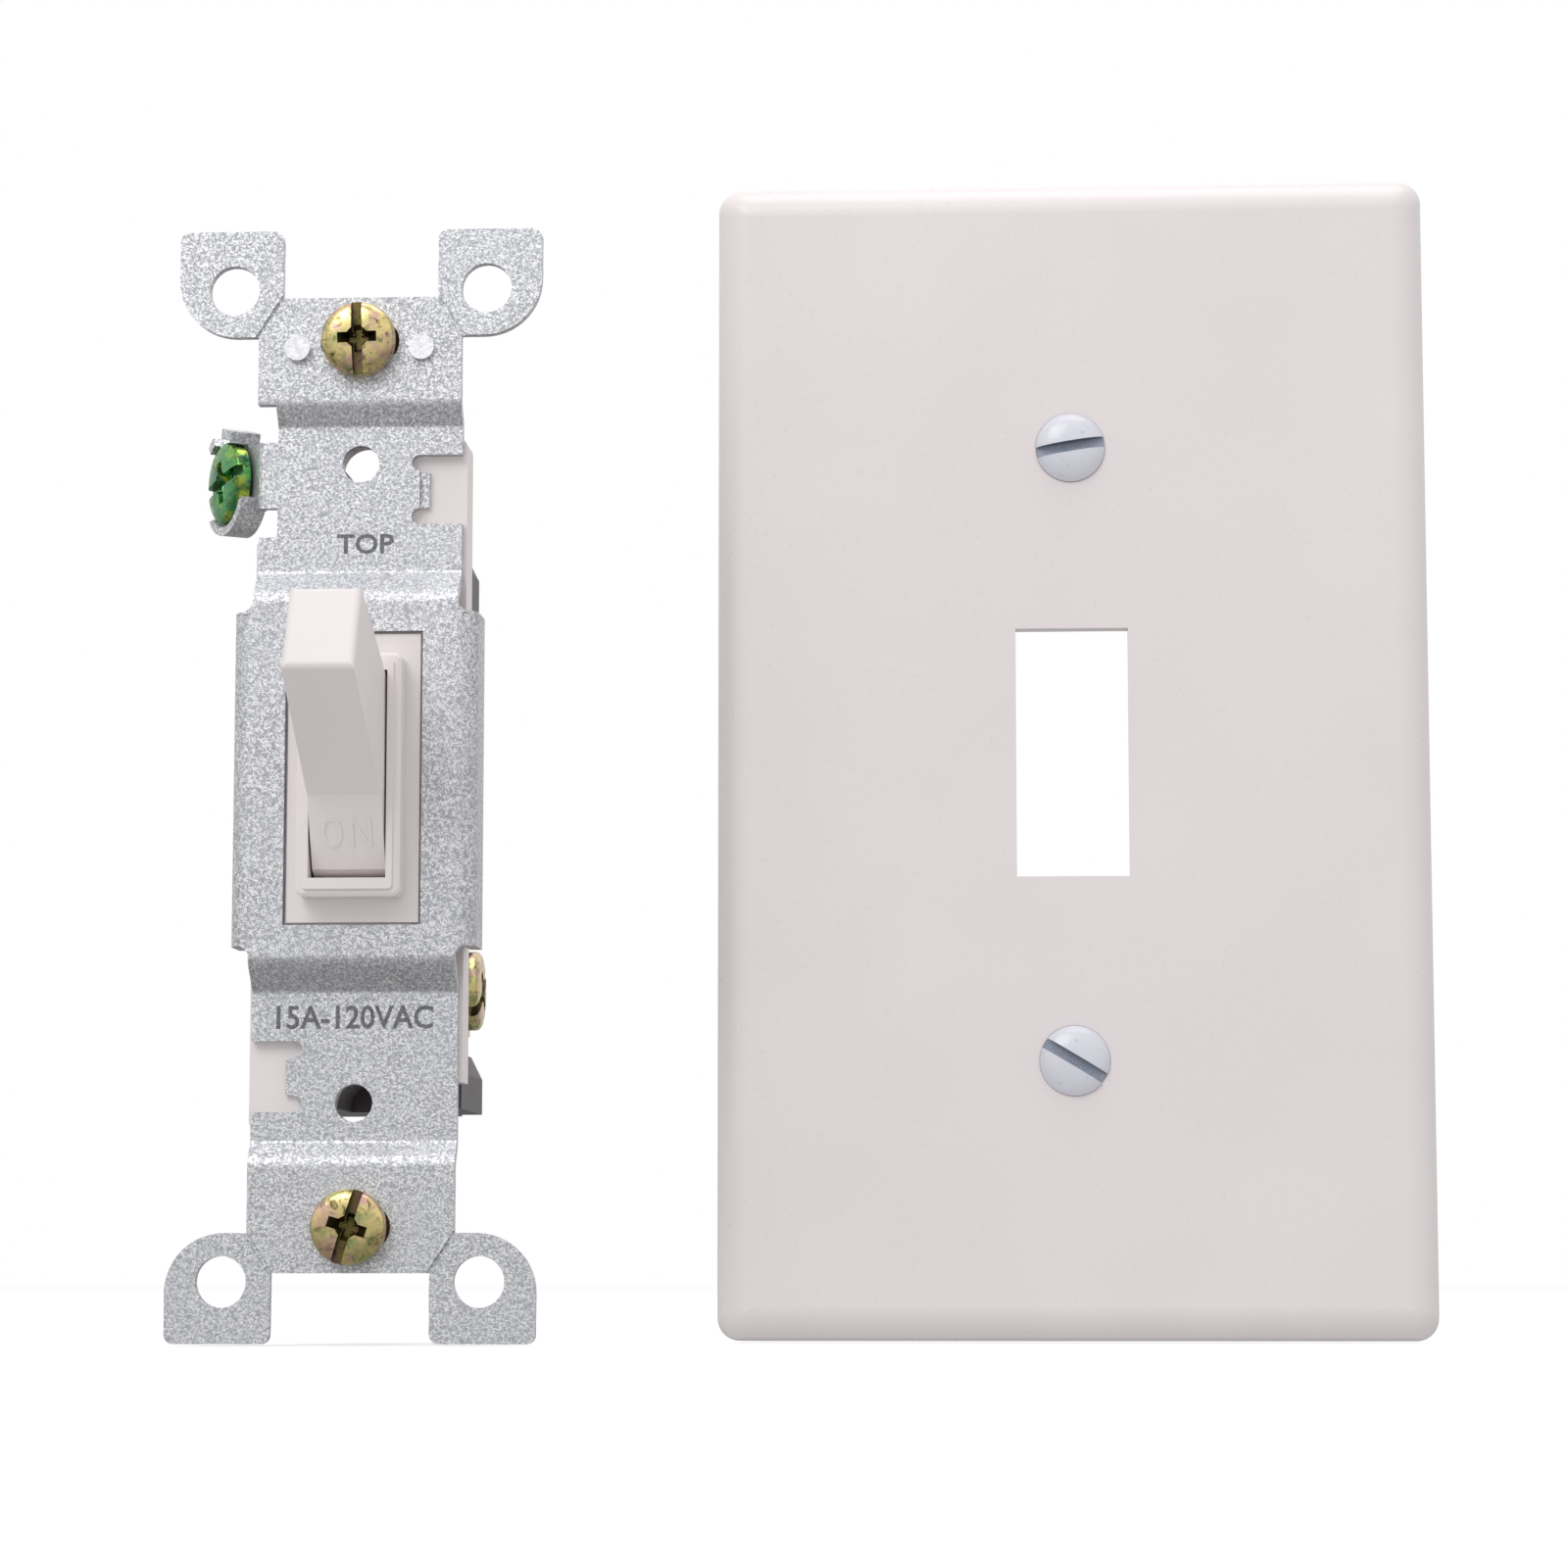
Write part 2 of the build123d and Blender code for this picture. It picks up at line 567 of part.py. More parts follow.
with BuildPart() as load_terminal:
    for b in load_boxes:
        slab(*b)
    with Locations(stem.offset(1.5).location):
        Cylinder(contact_r, 3.0, mode=Mode.SUBTRACT)
    with Locations(Location((base_narrow, terminal_y, -terminal_z), (0, 90, 0))):
        Cylinder(terminal_shank_r + running, 6, mode=Mode.SUBTRACT)
save(load_terminal, "load_terminal")

with BuildPart() as line_terminal:
    for b in line_boxes:
        slab(*b)
    # post with the cup the rocker turns in
    slab(-1.8, 1.8, hinge_y + 0.25, well_back - 0.8, -1.5, 1.5)
    with Locations(Location((0, hinge_y, 0), (0, 90, 0))):
        Cylinder(hinge_r + running, 20, mode=Mode.SUBTRACT)
    with Locations(Location((-base_narrow, terminal_y, terminal_z), (0, 90, 0))):
        Cylinder(terminal_shank_r + running, 6, mode=Mode.SUBTRACT)
save(line_terminal, "line_terminal")


# --- screws -----------------------------------------------------------------------------------
def screw(plane, head_r, head_h, shank_r, shank_l, turn, neck_l=0.0):
    """Cheese-headed screw: the plane lies under its head, normal pointing out of the head."""
    with BuildPart() as made:
        with BuildSketch(plane):
            Circle(head_r)
        extrude(amount=head_h)
        top = made.faces().sort_by(Axis(plane.origin, plane.z_dir))[-1]
        fillet(top.edges(), radius=head_h * 0.45)
        with BuildSketch(plane):
            Circle(shank_r)
        extrude(amount=-shank_l)
        if neck_l:
            with BuildSketch(plane):
                Circle(shank_r + 0.5)
                Circle(neck_r, mode=Mode.SUBTRACT)
            extrude(amount=-neck_l, mode=Mode.SUBTRACT)
        with BuildSketch(plane.offset(head_h + 0.1)):
            Rectangle(2.1 * head_r, 1.0, rotation=turn)
        extrude(amount=-0.9, mode=Mode.SUBTRACT)
        with BuildSketch(plane.offset(head_h + 0.1)):
            Rectangle(1.1 * head_r, 1.0, rotation=turn)
            Rectangle(1.1 * head_r, 1.0, rotation=turn + 90)
        extrude(amount=-head_h * 0.85, taper=6, mode=Mode.SUBTRACT)
    return made


for name, s, turn in (("upper_mounting_screw", 1, 92), ("lower_mounting_screw", -1, 73)):
    head_plane = Plane(
        origin=(0, ear_front - snug, s * box_pitch / 2), x_dir=(1, 0, 0), z_dir=(0, -1, 0)
    )
    neck_l = neck_to - ear_front + snug
    save(screw(head_plane, screw_head_r, screw_head_h, screw_r, screw_l, turn, neck_l), name)
for name, s in (("load_terminal_screw", 1), ("line_terminal_screw", -1)):
    head_plane = Plane(
        origin=(s * (base_narrow + terminal_t + gap), terminal_y, -s * terminal_z),
        x_dir=(0, 1, 0), z_dir=(s, 0, 0),
    )
    save(screw(head_plane, terminal_head_r, terminal_head_h, terminal_shank_r, 4.0, 35), name)
ground_plane = tab_plane.offset(strap_t / 2 + gap)
ground_plane = Plane(
    origin=ground_plane.origin + tab_dir * tab_u, x_dir=tab_dir, z_dir=tab_out
)
save(
    screw(ground_plane, ground_head_r, ground_head_h, ground_shank_r, ground_shank_l, 10),
    "ground_screw",
)

# --- retaining washers behind the ears' plane, and the grounding clip -------------------------
clip_t = 0.5
for name, s, y in (("upper_screw_retainer", 1, clip_t), ("lower_screw_retainer", -1, 0.0)):
    with BuildPart() as washer:
        with BuildSketch(at(y + 0.8)):
            with Locations((0, s * box_pitch / 2)):
                Rectangle(retainer, retainer - 1.2)
                Circle(screw_r + running, mode=Mode.SUBTRACT)
        extrude(amount=0.8)
    save(washer, name)

with BuildPart() as grounding_clip:
    with BuildSketch(at(clip_t)):
        with Locations((0, rivet_z)):
            RectangleRounded(15.0, 7.6, 0.8)
        with Locations((0, box_pitch / 2)):
            SlotOverall(slot_long, slot_wide, mode=Mode.SUBTRACT)
        with Locations((-rivet_x, rivet_z), (rivet_x, rivet_z)):
            Circle(rivet_r, mode=Mode.SUBTRACT)
    extrude(amount=clip_t)
save(grounding_clip, "grounding_clip")

with BuildPart() as clip_rivets:
    heads = (ear_front, 1.2, 0.6), (clip_t, rivet_r, clip_t + strap_t), (clip_t + 0.4, 1.2, 0.4)
    for y, r, h in heads:
        with BuildSketch(at(y)):
            with Locations((-rivet_x, rivet_z), (rivet_x, rivet_z)):
                Circle(r)
        extrude(amount=h)
save(clip_rivets, "clip_rivets")

# --- wall_plate -------------------------------------------------------------------------------
plate_front = plate_back - plate_d
sink_top = oval_r + 0.05
with BuildPart() as wall_plate:
    with BuildSketch(at(plate_back)):
        with Locations((plate_x, plate_z)):
            RectangleRounded(plate_w, plate_h, 2.2)
    extrude(amount=plate_d)
    front = wall_plate.faces().sort_by(Axis.Y)[0]
    fillet(front.edges(), radius=3.2)
    with BuildSketch(at(plate_back)):
        with Locations((plate_x, plate_z)):
            RectangleRounded(plate_w - 2 * plate_wall, plate_h - 2 * plate_wall, 1.0)
    extrude(amount=plate_d - plate_wall, taper=14, mode=Mode.SUBTRACT)
    with BuildSketch(at(plate_back)):
        with Locations((plate_x, plate_z)):
            Rectangle(2 * plate_slot_x, 2 * plate_slot_z)
        with Locations((plate_x, plate_z + plate_pitch / 2), (plate_x, plate_z - plate_pitch / 2)):
            Circle(screw_r + 0.25)
    extrude(amount=2 * plate_d, mode=Mode.SUBTRACT)
    with BuildSketch(at(plate_front)):
        with Locations((plate_x, plate_z + plate_pitch / 2), (plate_x, plate_z - plate_pitch / 2)):
            Circle(sink_top)
    extrude(amount=-(plate_wall - 0.5), taper=40, mode=Mode.SUBTRACT)
save(wall_plate, "wall_plate")

# --- plate screws: oval head, slotted ---------------------------------------------------------
for name, s, turn in (("plate_screw_upper", 1, 9), ("plate_screw_lower", -1, -31)):
    with BuildPart() as oval:
        with BuildSketch(at(plate_front - snug)):
            with Locations((plate_x, plate_z + s * plate_pitch / 2)):
                Circle(oval_r)
        extrude(amount=-(plate_wall - 0.5), taper=40)
        with BuildSketch(at(plate_front - snug)):
            with Locations((plate_x, plate_z + s * plate_pitch / 2)):
                Circle(oval_r)
        extrude(amount=1.15)
        dome = oval.faces().sort_by(Axis.Y)[0]
        fillet(dome.edges(), radius=1.0)
        with BuildSketch(at(plate_front + oval_l)):
            with Locations((plate_x, plate_z + s * plate_pitch / 2)):
                Circle(screw_r)
        extrude(amount=oval_l)
        with BuildSketch(at(plate_front - 2.0)):
            with Locations((plate_x, plate_z + s * plate_pitch / 2)):
                Rectangle(8, 1.05, rotation=turn)
        extrude(amount=-1.6, mode=Mode.SUBTRACT)
    save(oval, name)

print("rocker ratio", round(rocker_ratio, 5), "hinge_y", round(hinge_y, 4))
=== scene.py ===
"""Looks of a toggle wall switch and its wall plate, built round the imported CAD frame."""

from math import cos, pi, radians, sin

import bmesh
import bpy
from mathutils import Matrix, Vector


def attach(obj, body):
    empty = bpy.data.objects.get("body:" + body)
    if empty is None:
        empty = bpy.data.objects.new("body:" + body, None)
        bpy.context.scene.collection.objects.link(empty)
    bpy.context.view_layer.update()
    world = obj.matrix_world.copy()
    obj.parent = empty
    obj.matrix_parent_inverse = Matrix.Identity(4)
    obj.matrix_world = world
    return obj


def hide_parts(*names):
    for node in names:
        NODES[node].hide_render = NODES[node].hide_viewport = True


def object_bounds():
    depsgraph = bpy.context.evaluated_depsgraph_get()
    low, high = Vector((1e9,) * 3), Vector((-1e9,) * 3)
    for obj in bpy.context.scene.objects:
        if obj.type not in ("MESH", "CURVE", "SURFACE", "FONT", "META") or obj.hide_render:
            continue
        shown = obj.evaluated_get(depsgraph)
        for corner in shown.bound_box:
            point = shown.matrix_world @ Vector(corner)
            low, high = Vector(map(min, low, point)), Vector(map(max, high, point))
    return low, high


bl_info = {
    "name": "Toggle wall switch",
    "version": (1, 0, 0),
    "blender": (4, 5, 0),
    "location": "3D View > Sidebar > Wall Switch",
    "description": "Finishes, screws and stamped words of a toggle wall switch and its plate",
    "category": "Object",
}

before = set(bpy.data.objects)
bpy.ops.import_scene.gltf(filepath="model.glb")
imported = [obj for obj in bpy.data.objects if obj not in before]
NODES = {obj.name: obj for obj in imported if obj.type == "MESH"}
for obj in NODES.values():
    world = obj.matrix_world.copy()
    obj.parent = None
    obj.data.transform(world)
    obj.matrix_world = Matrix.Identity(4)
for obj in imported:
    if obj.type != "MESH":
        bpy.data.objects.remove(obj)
CAD_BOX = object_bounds()
MM = 0.001

# screws, in millimetres: shank radius and head height of each kind
SHANK_R = {"box": 1.75, "terminal": 1.9, "ground": 2.1, "oval": 1.75}
HEAD_HIGH = {"box": 2.1, "terminal": 1.7, "ground": 1.7}
OVAL_DOME, OVAL_CONE = 1.15, 1.70
NECK_R, NECK_LONG = 1.32, 2.78
THREAD_SHARE = 0.42  # depth of the thread as a share of its pitch
RINGS_A_TURN = 8


# --- small helpers ----------------------------------------------------------------------------
def hex_linear(code):
    """An sRGB hex value as a linear colour with alpha."""
    parts = [int(code[i : i + 2], 16) / 255 for i in (1, 3, 5)]
    return (*((c / 12.92 if c <= 0.04045 else ((c + 0.055) / 1.055) ** 2.4) for c in parts), 1.0)


def add_node(tree, kind, inputs=(), **settings):
    """A shader node with its settings, values and incoming links."""
    made = tree.nodes.new(kind)
    for key, value in settings.items():
        setattr(made, key, value)
    for key, value in dict(inputs).items():
        if isinstance(value, bpy.types.NodeSocket):
            tree.links.new(value, made.inputs[key])
        else:
            made.inputs[key].default_value = value
    return made


def new_finish(name, **shader):
    """An empty material of that name, its node tree, its shader and a millimetre-true position."""
    material = bpy.data.materials.new(name)
    material.use_nodes = True
    tree = material.node_tree
    tree.nodes.clear()
    surface = add_node(tree, "ShaderNodeBsdfPrincipled", shader)
    add_node(tree, "ShaderNodeOutputMaterial", {"Surface": surface.outputs[0]})
    place = add_node(tree, "ShaderNodeTexCoord").outputs["Object"]
    return material, tree, surface, place


def per_mm(size_mm):
    """Texture scale whose pattern repeats about every size_mm, for coordinates in metres."""
    return 1.0 / (size_mm * MM)


def mottled(tree, place, size_mm, edges, first, second, **noise):
    """Lumps about size_mm across, as a share from 0 to 1 and as a mix of two colours."""
    texture = {"Vector": place, "Scale": per_mm(size_mm), "Detail": 2.0, **noise}
    lumps = add_node(tree, "ShaderNodeTexNoise", texture).outputs[0]
    spread = {"Value": lumps, "From Min": edges[0], "From Max": edges[1]}
    share = add_node(tree, "ShaderNodeMapRange", spread).outputs[0]
    mix = add_node(tree, "ShaderNodeMix", {0: share, 6: first, 7: second}, data_type="RGBA")
    return share, mix.outputs[2]


def worn_skin(tree, surface, tone, share, roughness, depth_mm):
    """The shader's colour, with roughness and a relief of real depth that follow one pattern."""
    spread = {"Value": share, "To Min": roughness[0], "To Max": roughness[1]}
    rough = add_node(tree, "ShaderNodeMapRange", spread).outputs[0]
    height = {"Height": share, "Distance": depth_mm * MM, "Strength": 0.6}
    normal = add_node(tree, "ShaderNodeBump", height).outputs[0]
    for socket, value in (("Base Color", tone), ("Roughness", rough), ("Normal", normal)):
        tree.links.new(value, surface.inputs[socket])


def paint(names, material):
    """Gives CAD nodes a material."""
    for name in names:
        piece = NODES[name]
        piece.data.materials.clear()
        piece.data.materials.append(material)


def ease_edges(names, width_mm, angle=30.0, segments=3):
    """Rounds the moulded or sheared edges of CAD nodes."""
    for name in names:
        piece = NODES[name]
        edge = piece.modifiers.new("eased edges", "BEVEL")
        edge.width = width_mm * MM
        edge.segments = segments
        edge.limit_method = "ANGLE"
        edge.angle_limit = radians(angle)
        edge.miter_outer = "MITER_ARC"


def smooth(mesh, angle=35.0):
    """Shades a mesh smooth, and sharp where its faces meet at more than the angle."""
    for face in mesh.polygons:
        face.use_smooth = True
    mesh.set_sharp_from_angle(angle=radians(angle))


def add_piece(name, mesh, body, material):
    """A finished mesh as a piece that rides on a body."""
    piece = bpy.data.objects.new(name, mesh)
    bpy.context.scene.collection.objects.link(piece)
    mesh.materials.clear()
    mesh.materials.append(material)
    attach(piece, body)
    return piece


# --- what a user would change -----------------------------------------------------------------
class SwitchPlasticSettings(bpy.types.PropertyGroup):
    """Colours and edge sizes of the moulded parts."""

    handle: bpy.props.StringProperty(
        name="Handle colour", description="sRGB hex of the toggle and cover frame", default="#EDE6E5"
    )
    plate: bpy.props.StringProperty(
        name="Plate colour", description="sRGB hex of the wall plate", default="#EEE6E7"
    )
    housing: bpy.props.StringProperty(
        name="Housing colour", description="sRGB hex of the base", default="#474344"
    )
    edge: bpy.props.FloatProperty(
        name="Edge radius (mm)", description="Rounding of moulded edges", default=0.28, min=0.05
    )


class SwitchMetalSettings(bpy.types.PropertyGroup):
    """Pattern sizes and colours of the metal parts."""

    spangle: bpy.props.FloatProperty(
        name="Spangle (mm)", description="Width of one mark in the zinc coating", default=0.28
    )
    zinc_light: bpy.props.StringProperty(
        name="Zinc, light", description="sRGB hex of the bright crystals", default="#FAFAFB"
    )
    zinc_dark: bpy.props.StringProperty(
        name="Zinc, dark", description="sRGB hex of the dull crystals", default="#A9AAAF"
    )
    thread: bpy.props.FloatProperty(
        name="Thread pitch (mm)", description="32 threads to the inch", default=0.794, min=0.3
    )


class SwitchStageSettings(bpy.types.PropertyGroup):
    """Camera and light."""

    distance: bpy.props.FloatProperty(
        name="Distance", description="Camera to the strap's plane", default=0.400, unit="LENGTH"
    )
    side: bpy.props.FloatProperty(
        name="From the right", description="Turn of the camera", default=radians(3.2), subtype="ANGLE"
    )
    below: bpy.props.FloatProperty(
        name="From below", description="Upward tilt of the camera", default=radians(6.6), subtype="ANGLE"
    )


def plastic():
    return bpy.context.scene.switch_plastic


def metal():
    return bpy.context.scene.switch_metal


# --- finishes ---------------------------------------------------------------------------------
def spangled_zinc():
    """Hot-dip galvanised strip: pale satin zinc, closely strewn with small grey crystals."""
    material, tree, surface, place = new_finish("galvanised_steel_spangled", Metallic=0.8)
    size = metal().spangle
    dark, light = hex_linear(metal().zinc_dark), hex_linear(metal().zinc_light)
    marks, tone = mottled(tree, place, size, (0.41, 0.60), dark, light, Distortion=0.9)
    tone = mottled(tree, place, size * 0.5, (0.38, 0.52), hex_linear("#BCBDC2"), tone)[1]
    tone = mottled(tree, place, 9.0, (0.35, 1.6), tone, hex_linear("#CDCFD5"))[1]
    worn_skin(tree, surface, tone, marks, (0.60, 0.42), 0.02)
    return material


def burnished_zinc():
    """Zinc-plated rivet heads: the spangle beaten smooth, bright with fine hammer marks."""
    material, tree, surface, place = new_finish("rivet_zinc_burnished", Metallic=0.9)
    beaten, tone = mottled(
        tree, place, 0.5, (0.35, 0.65), hex_linear("#D9DADF"), hex_linear("#FBFBFC")
    )
    worn_skin(tree, surface, tone, beaten, (0.36, 0.24), 0.01)
    return material


def moulded_plastic(name, colour, roughness, pebble_mm):
    """Injection-moulded resin: soft gloss, the faintest flow clouds and a slight pebble."""
    material, tree, surface, place = new_finish(name, IOR=1.5)
    surface.inputs["Subsurface Weight"].default_value = 0.06
    surface.inputs["Subsurface Radius"].default_value = (0.0012, 0.0009, 0.0008)
    tint = hex_linear(colour)
    shade = tuple(c * f for c, f in zip(tint[:3], (0.975, 0.968, 0.97))) + (1.0,)
    tone = mottled(tree, place, 14.0, (0.3, 0.7), shade, tint, Detail=1.0)[1]
    pebble = mottled(tree, place, pebble_mm, (0.3, 0.7), shade, tint)[0]
    worn_skin(tree, surface, tone, pebble, (roughness - 0.03, roughness + 0.05), 0.006)
    return material


def moulded_phenolic():
    """Dark thermoset: dull, finely speckled with filler, slight swirls from the mould."""
    material, tree, surface, place = new_finish("phenolic_dark_grey", IOR=1.55)
    tint = hex_linear(plastic().housing)
    tone = mottled(tree, place, 5.0, (0.3, 0.7), tint, hex_linear("#565152"), Distortion=1.5)[1]
    speck, tone = mottled(
        tree, place, 0.35, (0.56, 0.9), tone, hex_linear("#858080"), Detail=3.0, Roughness=0.7
    )
    worn_skin(tree, surface, tone, speck, (0.5, 0.68), 0.02)
    return material


def passivated_zinc(name, main, pink, green, roughness=0.22):
    """Zinc plate under a chromate film: metallic, with oily patches of two other hues."""
    material, tree, surface, place = new_finish(name, Metallic=1.0)
    tone = mottled(
        tree, place, 2.2, (0.46, 0.66), hex_linear(main), hex_linear(pink), Distortion=1.2
    )[1]
    tone = mottled(tree, place, 1.7, (0.5, 0.7), tone, hex_linear(green), Distortion=0.8)[1]
    # Dark specks: partly stains in the film, partly painted dark reflections
    stain_and_reflection, tone = mottled(
        tree, place, 0.9, (0.52, 0.78), tone, hex_linear("#4A3F2A"), Distortion=1.2
    )
    worn_skin(tree, surface, tone, stain_and_reflection, (roughness, roughness + 0.2), 0.008)
    return material


def rolled_brass():
    """Stamped brass strip: warm yellow, fine rolling lines and a little brown tarnish."""
    material, tree, surface, place = new_finish("brass_strip", Metallic=1.0)
    along = add_node(tree, "ShaderNodeMapping", {"Vector": place, "Scale": (1.0, 0.05, 1.0)})
    bright, tarnish = hex_linear("#D9B36A"), hex_linear("#9A7440")
    tone = mottled(tree, place, 2.4, (0.5, 0.85), bright, tarnish, Detail=3.0)[1]
    lines, tone = mottled(
        tree, along.outputs[0], 0.14, (0.3, 1.2), tone, hex_linear("#E8CB8B")
    )
    worn_skin(tree, surface, tone, lines, (0.26, 0.42), 0.004)
    return material


def contact_silver():
    """Silver contact button: pale, dull from switching, with small dark pits."""
    material, tree, surface, place = new_finish("silver_contact_alloy", Metallic=1.0)
    pits, tone = mottled(
        tree, place, 0.3, (0.55, 0.7), hex_linear("#DEDEE0"), hex_linear("#8A8A8C"), Detail=3.0
    )
    worn_skin(tree, surface, tone, pits, (0.3, 0.5), 0.01)
    return material


def painted_screw():
    """White baked paint on steel: bluish white, glossy, slight orange peel, a few chips."""
    material, tree, surface, place = new_finish("baked_white_paint", IOR=1.5)
    surface.inputs["Coat Weight"].default_value = 0.5
    surface.inputs["Coat Roughness"].default_value = 0.12
    paint_white, chipped = hex_linear("#DCDCE6"), hex_linear("#AEB2C0")
    tone = mottled(tree, place, 0.9, (0.64, 0.8), paint_white, chipped, Detail=3.0)[1]
    peel = mottled(tree, place, 0.5, (0.3, 0.7), paint_white, chipped)[0]
    worn_skin(tree, surface, tone, peel, (0.28, 0.42), 0.01)
    return material


def slot_steel():
    """Bare steel in the bottom of a painted screw's slot: blue-grey, scratched by the driver."""
    material, tree, surface, place = new_finish("driver_worn_steel", Metallic=0.7)
    scratch, tone = mottled(
        tree, place, 0.2, (0.35, 0.65), hex_linear("#8A92A3"), hex_linear("#B4BAC8"),
        Detail=3.0, Distortion=2.0,
    )
    worn_skin(tree, surface, tone, scratch, (0.35, 0.55), 0.01)
    return material


def vulcanised_fibre():
    """Pressed fibre sheet: red-brown, matt, with short hairs in the sheet's plane."""
    material, tree, surface, place = new_finish("vulcanised_fibre_sheet", IOR=1.45)
    hairs, tone = mottled(
        tree, place, 0.35, (0.35, 0.65), hex_linear("#7A5338"), hex_linear("#A67C57"),
        Detail=4.0, Distortion=2.5,
    )
    worn_skin(tree, surface, tone, hairs, (0.65, 0.8), 0.02)
    return material


def natural_nylon():
    """Unpigmented nylon: milky cream, slightly waxy."""
    material, tree, surface, place = new_finish("nylon_natural", IOR=1.53)
    cloud, tone = mottled(
        tree, place, 1.2, (0.3, 0.7), hex_linear("#D8D2BC"), hex_linear("#E8E3D2")
    )
    worn_skin(tree, surface, tone, cloud, (0.38, 0.5), 0.008)
    return material


def drawn_wire():
    """Music wire: grey, bright along the draw lines."""
    material, tree, surface, place = new_finish("music_wire", Metallic=1.0)
    draw, tone = mottled(
        tree, place, 0.1, (0.3, 0.7), hex_linear("#8D9094"), hex_linear("#C4C7CB"), Distortion=1.0
    )
    worn_skin(tree, surface, tone, draw, (0.22, 0.36), 0.003)
    return material


def struck_letter_painted_shade():
    """Letters struck into zinc: dark grey and rough, partly crushed coating and partly painted shade of
    the stamped letters.
    """
    material, tree, surface, place = new_finish("struck_letter_painted_shade", Metallic=0.5)
    # dark greys: painted shade of the stamped letters, with the crushed coating
    crush, tone = mottled(
        tree, place, 0.25, (0.3, 0.7), hex_linear("#55565C"), hex_linear("#8A8B92")
    )
    worn_skin(tree, surface, tone, crush, (0.5, 0.7), 0.008)
    return material


# --- screws -----------------------------------------------------------------------------------
def tapered_block(long, wide, deep, at_foot=1.0):
    """A cutter from just above z = 0 down to -deep, narrowed at its foot, as a mesh."""
    shape = bmesh.new()
    corners = []
    for z, k in ((0.6 * MM, 1.0), (-deep, at_foot)):
        for x, y in ((-1, -1), (1, -1), (1, 1), (-1, 1)):
            corners.append(shape.verts.new((x * long / 2 * k, y * wide / 2 * k, z)))
    low, high = corners[4:], corners[:4]
    shape.faces.new(high)
    shape.faces.new(low[::-1])
    for i in range(4):
        j = (i + 1) % 4
        shape.faces.new((high[j], high[i], low[i], low[j]))
    bmesh.ops.recalc_face_normals(shape, faces=shape.faces)
    mesh = bpy.data.meshes.new("cutter")
    shape.to_mesh(mesh)
    shape.free()
    return mesh


def turned_screw(profile, shank_r, start, length, pitch, steps=40):
    """A turned screw along z: the head's profile as (radius, depth), then a helical thread."""
    shape = bmesh.new()
    depth_of_thread = pitch * THREAD_SHARE
    rings = []
    for radius, depth in profile[1:]:
        rings.append([(radius, depth)] * steps)
    count = int((length - start) / pitch * RINGS_A_TURN)
    for i in range(count + 1):
        depth = start + (length - start) * i / count
        fade = min(1.0, (depth - start) / pitch, (length - depth) / pitch + 0.25)
        ring = []
        for j in range(steps):
            phase = (depth / pitch + j / steps) % 1.0
            crest = 1.0 - abs(2.0 * phase - 1.0)
            cut = depth_of_thread * (1.0 - min(1.0, crest * 1.25)) * fade
            ring.append((shank_r - cut, depth))
        rings.append(ring)
    verts = [
        [
            shape.verts.new((r * cos(2 * pi * j / steps), r * sin(2 * pi * j / steps), -d))
            for j, (r, d) in enumerate(ring)
        ]
        for ring in rings
    ]
    top = shape.verts.new((0, 0, -profile[0][1]))
    foot = shape.verts.new((0, 0, -length))
    for j in range(steps):
        k = (j + 1) % steps
        shape.faces.new((top, verts[0][j], verts[0][k]))
        shape.faces.new((foot, verts[-1][k], verts[-1][j]))
        for a, b in zip(verts, verts[1:]):
            shape.faces.new((a[k], a[j], b[j], b[k]))
    bmesh.ops.recalc_face_normals(shape, faces=shape.faces)
    mesh = bpy.data.meshes.new("turned screw")
    shape.to_mesh(mesh)
    shape.free()
    return mesh


def cut_recess(mesh, cutters):
    """The mesh with each cutter taken out of it. Faces left by a cutter get material index 1."""
    work = bpy.data.objects.new("work", mesh)
    bpy.context.scene.collection.objects.link(work)
    blank = bpy.data.materials.new("blank")
    recess = bpy.data.materials.new("recess")
    mesh.materials.append(blank)
    mesh.materials.append(recess)
    made = [work]
    for cutter, turn in cutters:
        tool = bpy.data.objects.new("tool", cutter)
        tool.rotation_euler = (0, 0, turn)
        cutter.materials.append(blank)
        cutter.materials.append(recess)
        for face in cutter.polygons:
            face.material_index = 1
        bpy.context.scene.collection.objects.link(tool)
        cut = work.modifiers.new("recess", "BOOLEAN")
        cut.operation, cut.object, cut.solver = "DIFFERENCE", tool, "EXACT"
        made.append(tool)
    bpy.context.view_layer.update()
    graph = bpy.context.evaluated_depsgraph_get()
    result = bpy.data.meshes.new_from_object(work.evaluated_get(graph))
    for item in made:
        bpy.data.objects.remove(item)
    return result


